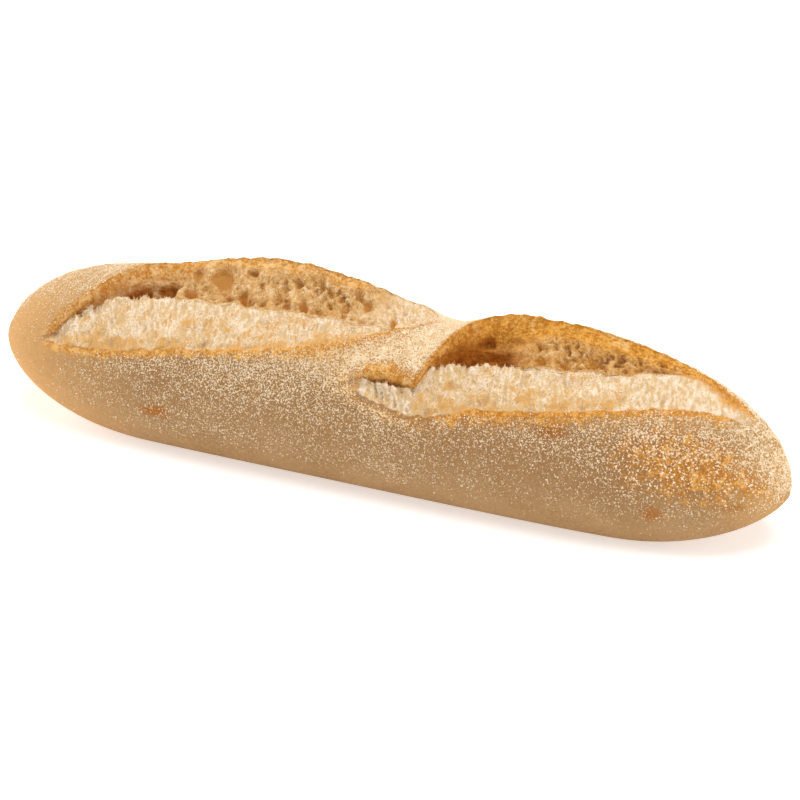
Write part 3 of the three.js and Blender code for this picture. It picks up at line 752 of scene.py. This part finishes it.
def scatter(name, seat, way, size, length):
    """One piece of many tetrahedra, each standing on its seat and pointing its own way."""
    first_way = np.cross(way, lot.normal(size=way.shape))
    first_way /= np.linalg.norm(first_way, axis=1, keepdims=True)
    second_way = np.cross(way, first_way)
    # Three corners about a third of a turn apart, and one that points along the way
    base = [first_way, 0.87 * second_way - 0.5 * first_way, -0.87 * second_way - 0.5 * first_way]
    ways = np.stack([side * size for side in base] + [way * length], 1)
    stretch = 1 + GRAIN_UNEVEN * lot.uniform(-1, 1, (len(seat), 4, 1))
    spots = (seat[:, None] + ways * stretch).reshape(-1, 3) * MM
    faces = (np.arange(len(seat))[:, None, None] * 4 + TETRAHEDRON).reshape(-1, 3)
    made = bpy.data.meshes.new(name)
    made.from_pydata(spots.tolist(), [], faces.tolist())
    piece = bpy.data.objects.new(name, made)
    bpy.context.collection.objects.link(piece)
    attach(piece, "root")
    print(name + ":", len(seat), "pieces,", len(made.polygons), "faces")
    return made


GRAINS, GRAIN_SIZE, CLUMP_SIZE = 49000, (0.16, 0.36), 2.4
COARSE_FROM, COARSE_UP, COARSE_MOST = (75, 100), (14, 26), 1.5
corners = shaped.reshape(-1, 3)[quads]
side_a, side_b = corners[:, 1] - corners[:, 0], corners[:, 3] - corners[:, 0]
area = np.linalg.norm(np.cross(side_a, side_b), axis=1)
clumps = ramp(cloud(*corners.mean(1).T, CLUMP_SIZE, 21.0), -0.3, 0.4)
chance = area * flour.ravel()[quads].mean(1) ** 1.3 * (0.5 + clumps)
chosen = lot.choice(len(quads), GRAINS, p=chance / chance.sum())
u, v = lot.random((2, GRAINS, 1))
low, high = (mix(corners[chosen, i], corners[chosen, j], u) for i, j in ((0, 1), (3, 2)))
seat = mix(low, high, v)
size = mix(*GRAIN_SIZE, lot.random((GRAINS, 1)) ** 2)
# Coarser grains lie above the foot of the right end
size = size * mix(1, COARSE_MOST, ramp(seat[:, :1], *COARSE_FROM) * ramp(seat[:, 2:], *COARSE_UP))
grain_mesh = scatter("flour_grains", seat, facing.reshape(-1, 3)[quads[chosen, 0]], size, size)

# %% [markdown]
# Where crumb tore, single threads stand up along the crests. Hair particles could make them, but the
# grain's shape drawn out long does as well, and stays a plain mesh. The threads share the bread's
# material, so they carry the marks of the palest crumb.

# %% Crumb whiskers
WHISKERS, WHISKER_SIZE, WHISKER_LENGTH = 1600, 0.13, (0.3, 1.1)
WHISKER_LEAN, WHISKER_SPREAD, WHISKER_STRAY, WHISKER_SUNK = 0.25, 0.4, 0.4, 0.3
crest_points = np.concatenate([part(shaped, "fall_" + side)[:, 0] for side, cut, seed in SIDES])
torn_open = np.concatenate([(cut["opened"] * (1 - cut["meet"]))[:, 0] for side, cut, seed in SIDES])
rooted = lot.choice(len(crest_points), WHISKERS, p=torn_open / torn_open.sum())
way = np.array([0.0, WHISKER_LEAN, 1.0]) + WHISKER_SPREAD * lot.normal(size=(WHISKERS, 3))
way /= np.linalg.norm(way, axis=1, keepdims=True)
root = crest_points[rooted] + lot.uniform(-WHISKER_STRAY, WHISKER_STRAY, (WHISKERS, 3))
root = root - np.array([0, 0, WHISKER_SUNK])
length = mix(*WHISKER_LENGTH, lot.random((WHISKERS, 1)) ** 2)
whisker_mesh = scatter("crumb_whiskers", root, way, WHISKER_SIZE, length)
for name in ("crumb", "paling"):
    layer = whisker_mesh.attributes.new(name, "FLOAT", "POINT")
    layer.data.foreach_set("value", np.ones(len(whisker_mesh.vertices), np.float32))

# %% [markdown]
# A material is a tree of nodes. Painting by hand would do for one view, but here the colours follow
# the marks of the oven, and painted shade follows the pockets, pits and gaps, so that they stay right
# from every side. One helper adds any node, sets or links its inputs and gives back the output that
# the next node needs.

# %% Material helpers
def colour(code):
    """Linear colour for a screen colour written as a hex code."""
    parts = [int(code[i:i + 2], 16) / 255 for i in (1, 3, 5)]
    return [p / 12.92 if p <= 0.04045 else ((p + 0.055) / 1.055) ** 2.4 for p in parts] + [1.0]


def new_material(name):
    """A material with an empty tree, and the tree."""
    made = bpy.data.materials.new(name)
    made.use_nodes = True
    made.node_tree.nodes.clear()
    return made, made.node_tree


def add(tree, kind, wires=None, out=0, **settings):
    """Adds a node, sets its options, sets or links its inputs, and gives back one output."""
    made = tree.nodes.new(kind)
    for name, value in settings.items():
        setattr(made, name, value)
    for name, value in (wires or {}).items():
        if isinstance(value, bpy.types.NodeSocket):
            tree.links.new(value, made.inputs[name])
        else:
            made.inputs[name].default_value = value
    return made.outputs[out] if made.outputs else None


def per_mm(size):
    """Texture scale for a pattern of this size in millimetres."""
    return 1000 / size


# Inputs of RANGE: 0 value, 1 and 2 from, 3 and 4 to. Of MIX: 0 share, 6 and 7 colours, 2 and 3 plain
# numbers; its output 2 is the colour. Of MATH: 0, 1 and 2, where MULTIPLY_ADD gives 0 times 1 plus 2.
RANGE, MIX, MATH = "ShaderNodeMapRange", "ShaderNodeMix", "ShaderNodeMath"
PRINCIPLED, OUTPUT = "ShaderNodeBsdfPrincipled", "ShaderNodeOutputMaterial"
print("a mid screen grey is", round(colour("#808080")[0], 3), "in linear light")

# %% [markdown]
# Baked wheat bread: dough whose skin dried and browned in the oven, torn open while it was still
# soft. To the eye it is matt and never even, so every colour below is broken up by noises, from broad
# patches of shade to specks as fine as the flour. The threads follow the torn fibres of the mesh.

# %% Bread patterns
bread, tree = new_material("baked_wheat_bread")
place = add(tree, "ShaderNodeTexCoord", out="Object")
source = {name: add(tree, "ShaderNodeAttribute", out="Fac", attribute_name=name) for name in marks}
source["along"] = add(tree, "ShaderNodeSeparateXYZ", {0: place}, "X")
source["up"] = add(tree, "ShaderNodeSeparateXYZ", {0: place}, "Z")
# Width in millimetres and number of finer layers of each noise
PATTERNS = dict(broad=(16, 3), patch=(6, 3), mottle=(2.4, 4), grain=(0.9, 3), speck=(0.55, 1))
for name, (size, detail) in PATTERNS.items():
    wires = {"Vector": place, "Scale": per_mm(size), "Detail": detail}
    source[name] = add(tree, "ShaderNodeTexNoise", wires, "Fac")
# The threads attribute is in millimetres, so these scales are threads and cells per millimetre
FINE_CELL = 1.2
threads = add(tree, "ShaderNodeAttribute", out="Vector", attribute_name="threads")
wires = {"Vector": threads, "Scale": 1 / FIBRE_WIDTH, "Detail": 3}
source["strand"] = add(tree, "ShaderNodeTexNoise", wires, "Fac")
wires = {"Vector": threads, "Scale": 1 / FINE_CELL}
source["cell"] = add(tree, "ShaderNodeTexVoronoi", wires, feature="DISTANCE_TO_EDGE")
print("marks and patterns of the bread:", ", ".join(source))

# %% [markdown]
# Where a finish shows is a level: a mark or a pattern, with others added to it by weight, that climbs
# from 0 to its most between two values. Marks that are broken up by patterns end in flakes and specks
# instead of soft edges. The first six levels are places along or up the loaf: bread browns by place,
# paler on the crown, more golden at the ends, a little harder on the right half.

# %% Levels of each finish
# Ground, what is added to it by weight, where the level starts, where it is full, and its most; the
# ground of a place is in metres
LEVELS = dict(
    right_half=("along", {}, 0, 30 * MM, 1), warm=("up", {}, 12 * MM, 30 * MM, 0.8),
    top=("up", {}, 36 * MM, 48 * MM, 0.8), left_end=("along", {}, -70 * MM, -122 * MM, 1),
    right_end=("along", {}, 116 * MM, 132 * MM, 0.8), off_floor=("up", {}, 6 * MM, 20 * MM, 1),
    tint=("broad", {}, 0.35, 0.65, 1), grainy=("grain", {}, 0.4, 0.65, 0.4),
    mottled=("mottle", {}, 0.4, 0.6, 1), dark=("blotch", dict(mottle=0.6), 0.3, 1.1, 0.95),
    browned=("toast", dict(mottle=0.9, grain=0.6), 0.95, 1.4, 1),
    golden=("grain", dict(speck=0.8, mottle=1.2), 1.3, 1.7, 1),
    dusty=("speck", dict(flour=0.22), 0.695, 0.785, 0.95),
    fibres=("strand", {}, 0.4, 0.6, 1), pore_shade=("speck", {}, 0.48, 0.62, 0.5),
    dry=("patch", dict(strand=1, speck=0.3, paling=-0.25), 1.03, 1.17, 0.88),
    lumpy=("mottle", dict(grain=0.5), 0.6, 0.95, 1), in_cell=("cell", {}, 0.04, 0.2, 1),
    clinging=("patch", dict(mottle=0.8, grain=0.4), 1.22, 1.36, 0.5),
    # hollow and shaded are levels of painted shade: in the pits and bowls, and in the pockets
    hollow=("pit_shade", {}, 0.2, 0.7, 0.9), shaded=("painted_shade", {}, 0, 1, 0.95))
level = {name: source[name] for name in ("crumb", "torn", "gap_shade")}
for name, (ground, added, low, high, most) in LEVELS.items():
    value = source[ground]
    for other, weight in added.items():
        value = add(tree, MATH, {0: source[other], 1: weight, 2: value}, operation="MULTIPLY_ADD")
    level[name] = add(tree, RANGE, {0: value, 1: low, 2: high, 4: most})
level["right_end"] = add(tree, MATH, {0: level["right_end"], 1: level["off_floor"]}, operation="MULTIPLY")
# The wall has no cells where it is browned, nor on the smooth roofs of the pockets
closed = add(tree, MATH, {0: level["browned"], 1: source["roof"]}, operation="ADD")
open_foam = add(tree, RANGE, {0: closed, 3: 1.0, 4: 0.0})
level["in_cell"] = add(tree, MATH, {0: level["in_cell"], 1: open_foam}, operation="MULTIPLY")
# Inside the cells the wall takes the darker ground colour: painted shade in the cell holes, which the bump
# sinks too
wires = {0: level["in_cell"], 1: -0.7, 2: level["lumpy"]}
level["lumpy"] = add(tree, MATH, wires, operation="MULTIPLY_ADD", use_clamp=True)
print("levels of the bread:", ", ".join(level))

# %% [markdown]
# The crust: skin of dough, baked tan. Its coats are mixed one over another, from the ground colour to
# the dark patches; then toast goes over them in flakes, and fine flour over all as pale specks, the
# denser the more flour fell.

# %% Crust colours
# Each line mixes a colour: its name, its level, the colour where the level is 0 and where it is 1
CRUST = (
    ("deep", "right_half", "#c68029", "#c0771f"), ("orange", "right_half", "#efb666", "#e9ab54"),
    ("edges", "golden", "deep", "orange"), ("dust", "mottled", "#f1cd98", "#ffedcc"),
    ("crust", "tint", "#9f794f", "#ab865c"), ("crust", "warm", "crust", "#a47648"),
    ("crust", "top", "crust", "#ebc08a"), ("crust", "left_end", "crust", "#d8a364"),
    ("crust", "right_end", "crust", "#d09c58"), ("crust", "grainy", "crust", "#c09c6e"),
    ("crust", "dark", "crust", "#a86a2a"), ("crust", "browned", "crust", "edges"),
    ("crust", "dusty", "crust", "dust"))
print("coats of the crust:", len(CRUST))

# %% [markdown]
# The crumb: the soft inside, torn into threads, cream where it stayed moist. Drier threads turned
# golden, fewer towards the pale crests; the gaps between them are painted darker as shade, fine
# specks are painted darker as shade in its pores, and the toast of the lips runs a little way in.

# %% Crumb colours
CRUMB = (
    # The pores coat is painted shade in small pores; the gap coat is painted shade between the threads
    ("crumb", "fibres", "#e2bd88", "#fbe8ce"), ("crumb", "pore_shade", "crumb", "#d8ab70"),
    ("crumb", "dry", "crumb", "#dba254"), ("crumb", "gap_shade", "crumb", "#b8946a"),
    ("crumb", "browned", "crumb", "edges"))
print("coats of the crumb:", len(CRUMB))

# %% [markdown]
# The torn walls: foam that dried in the oven's heat, with pale webs round cells whose insides are
# painted darker, as shade. Pale flakes of crust cling to it, its pits and its toasted bowls are
# painted brown as shade, and the pockets are painted darkest as shade. Crust, crumb and wall then
# come together by their marks into one skin.

# %% Torn wall colours
WALL = (
    ("webs", "right_half", "#f5d9ac", "#edc58e"), ("ground", "right_half", "#d8a360", "#d0964c"),
    ("toasted", "right_half", "#f0bf7c", "#eaaa4c"), ("singed", "right_half", "#cf8932", "#c07a24"),
    ("baked", "golden", "singed", "toasted"), ("wall", "lumpy", "ground", "webs"),
    ("wall", "browned", "wall", "baked"), ("wall", "clinging", "wall", "#eecb94"),
    # The darkest and lighter colours, mixed into one, are the painted shade of the pockets
    # The hollows colour is the painted shade of the pits and bowls
    ("hollows", "right_half", "#b27836", "#8f5520"), ("darkest", "right_half", "#98540e", "#9e5812"),
    ("lighter", "right_half", "#b6721e", "#b6701a"), ("depths", "mottled", "darkest", "lighter"))
# The last two coats of the skin are painted shade: of the pits and bowls, then of the pockets
SKIN = (("skin", "crumb", "crust", "crumb"), ("skin", "torn", "skin", "wall"),
        ("skin", "hollow", "skin", "hollows"), ("skin", "shaded", "skin", "depths"))
paint = {}
for name, share, under, over in CRUST + CRUMB + WALL + SKIN:
    below, above = (colour(code) if code[0] == "#" else paint[code] for code in (under, over))
    paint[name] = add(tree, MIX, {0: level[share], 6: below, 7: above}, 2, data_type="RGBA")
print("colours of the bread:", ", ".join(paint))

# %% [markdown]
# Starch refracts at about 1.5, but dry bread is full of air and shines less, so the index is 1.4, the
# reflection is held low and the roughness high. Relief finer than the mesh is a bump: flour and grain
# on the crust, fluff on the crumb and cell holes in the walls.

# %% Bread surface
BUMP_DEPTH = 0.6
bumps = add(tree, MATH, {0: level["dusty"], 1: 0.6, 2: source["grain"]}, operation="MULTIPLY_ADD")
fluff = add(tree, MATH, {0: source["speck"], 1: 0.8, 2: source["strand"]}, operation="MULTIPLY_ADD")
fluff = add(tree, MATH, {0: source["grain"], 1: 0.8, 2: fluff}, operation="MULTIPLY_ADD")
holes = add(tree, MATH, {0: level["in_cell"], 1: -0.6, 2: source["grain"]}, operation="MULTIPLY_ADD")
fluff = add(tree, MIX, {0: source["torn"], 2: fluff, 3: holes})
bumps = add(tree, MIX, {0: source["crumb"], 2: bumps, 3: fluff})
relief = add(tree, "ShaderNodeBump", {"Strength": 0.8, "Distance": BUMP_DEPTH * MM, "Height": bumps})
surface = add(tree, PRINCIPLED, {"Base Color": paint["skin"], "Roughness": 0.8, "IOR": 1.4,
                                 "Normal": relief, "Specular IOR Level": 0.25})
add(tree, OUTPUT, {"Surface": surface})
mesh.materials.append(bread)
whisker_mesh.materials.append(bread)
print(bread.name, "has", len(tree.nodes), "nodes")

# %% [markdown]
# Wheat flour: milled grain, a cream powder that scatters light and has hardly any shine. The grains are
# real shape, so the material only varies their cream a little from clump to clump.

# %% Flour surface
TINT_SIZE = 1.5
flour_dust, tree = new_material("wheat_flour")
place = add(tree, "ShaderNodeTexCoord", out="Object")
tint = add(tree, "ShaderNodeTexNoise", {"Vector": place, "Scale": per_mm(TINT_SIZE), "Detail": 2}, "Fac")
tint = add(tree, RANGE, {0: tint, 1: 0.35, 2: 0.65})
cream = add(tree, MIX, {0: tint, 6: colour("#f5dab0"), 7: colour("#fff1da")}, 2, data_type="RGBA")
surface = add(tree, PRINCIPLED, {"Base Color": cream, "Roughness": 0.95, "IOR": 1.4,
                                 "Specular IOR Level": 0.2})
add(tree, OUTPUT, {"Surface": surface})
grain_mesh.materials.append(flour_dust)
print(flour_dust.name, "has", len(tree.nodes), "nodes")

# %% [markdown]
# The stage is a photographer's table with a wide sweep of paper: matt, uncoated and all but white. It
# glows a little, so that it comes out white right up to the loaf, and it lies a hair under the loaf.

# %% Paper sweep
FLOOR_REACH, FLOOR_DROP = 6.0, 0.2
signs = ((-1, -1), (1, -1), (1, 1), (-1, 1))
floor_mesh = bpy.data.meshes.new("floor")
floor_mesh.from_pydata([(FLOOR_REACH * x, FLOOR_REACH * y, 0) for x, y in signs], [], [(0, 1, 2, 3)])
floor = bpy.data.objects.new("floor", floor_mesh)
floor.location.z = -FLOOR_DROP * MM
bpy.context.collection.objects.link(floor)
paper, tree = new_material("white_paper_sweep")
surface = add(tree, PRINCIPLED, {"Base Color": colour("#f6f5f3"), "Roughness": 0.9,
                                 "Emission Color": (1, 1, 1, 1), "Emission Strength": 0.5})
add(tree, OUTPUT, {"Surface": surface})
floor_mesh.materials.append(paper)
print("paper sweep:", 2 * FLOOR_REACH, "m wide")

# %% [markdown]
# One big soft lamp hangs overhead and a little behind, two weaker ones stand at the ends, and white
# surroundings fill the shadows. The surroundings look white to the camera but light the loaf weakly,
# so its near side stays darker than its top, as in the photo.

# %% Soft light
# Place in metres, size in metres and power in watts of each soft lamp; all shine on the loaf's middle
LAMPS = dict(soft_key=((0.1, 0.12, 1.2), 1.2, 13), left_side=((-1.3, -0.1, 0.5), 0.9, 10),
             right_side=((1.3, 0.0, 0.5), 0.9, 6))
SHINE_ON = (0, 0, 0.03)
for name, (stand, width, power) in LAMPS.items():
    light = bpy.data.lights.new(name, "AREA")
    light.size, light.energy = width, power
    holder = bpy.data.objects.new(name, light)
    holder.location = stand
    aim = np.array(SHINE_ON) - np.array(stand)
    holder.rotation_euler = (math.atan2(math.hypot(aim[0], aim[1]), -aim[2]), 0,
                             math.atan2(aim[0], -aim[1]) + math.pi)
    bpy.context.collection.objects.link(holder)
world = bpy.data.worlds.new("white_room")
world.use_nodes = True
tree = world.node_tree
FILL_LIGHT, SEEN_WHITE = 0.28, 1.0
seen = add(tree, "ShaderNodeLightPath", out="Is Camera Ray")
strength = add(tree, RANGE, {0: seen, 3: FILL_LIGHT, 4: SEEN_WHITE})
tree.nodes["Background"].inputs["Color"].default_value = (1, 1, 1, 1)
tree.links.new(strength, tree.nodes["Background"].inputs["Strength"])
bpy.context.scene.world = world
bpy.context.scene.view_settings.view_transform = "Standard"
print("lamps:", ", ".join(LAMPS))

# %% [markdown]
# The camera stands where the photographer's did: a long lens from 1.4 m, turned 26 degrees round the
# loaf and 25 degrees above it.

# %% Camera
AZIMUTH, ELEVATION, DISTANCE = math.radians(25.7), math.radians(25.0), 1.4
TARGET, LENS, SENSOR, SHIFT = (0.0, 0.0, 0.022), 199.1, 36.0, (0.01428, -0.005)
camera_data = bpy.data.cameras.new("camera")
camera_data.lens, camera_data.sensor_width = LENS, SENSOR
camera_data.shift_x, camera_data.shift_y = SHIFT
camera = bpy.data.objects.new("camera", camera_data)
camera.location = (TARGET[0] + DISTANCE * math.sin(AZIMUTH) * math.cos(ELEVATION),
                   TARGET[1] - DISTANCE * math.cos(AZIMUTH) * math.cos(ELEVATION),
                   TARGET[2] + DISTANCE * math.sin(ELEVATION))
camera.rotation_euler = (math.pi / 2 - ELEVATION, 0, AZIMUTH)
bpy.context.collection.objects.link(camera)
bpy.context.scene.camera = camera
print("camera at", [round(v, 3) for v in camera.location])

# %% [markdown]
# Last, the faces of the dressed loaf are counted.

# %% Finish
dressed = (mesh, grain_mesh, whisker_mesh)
print("the dressed loaf has", sum(len(piece.polygons) for piece in dressed), "faces")
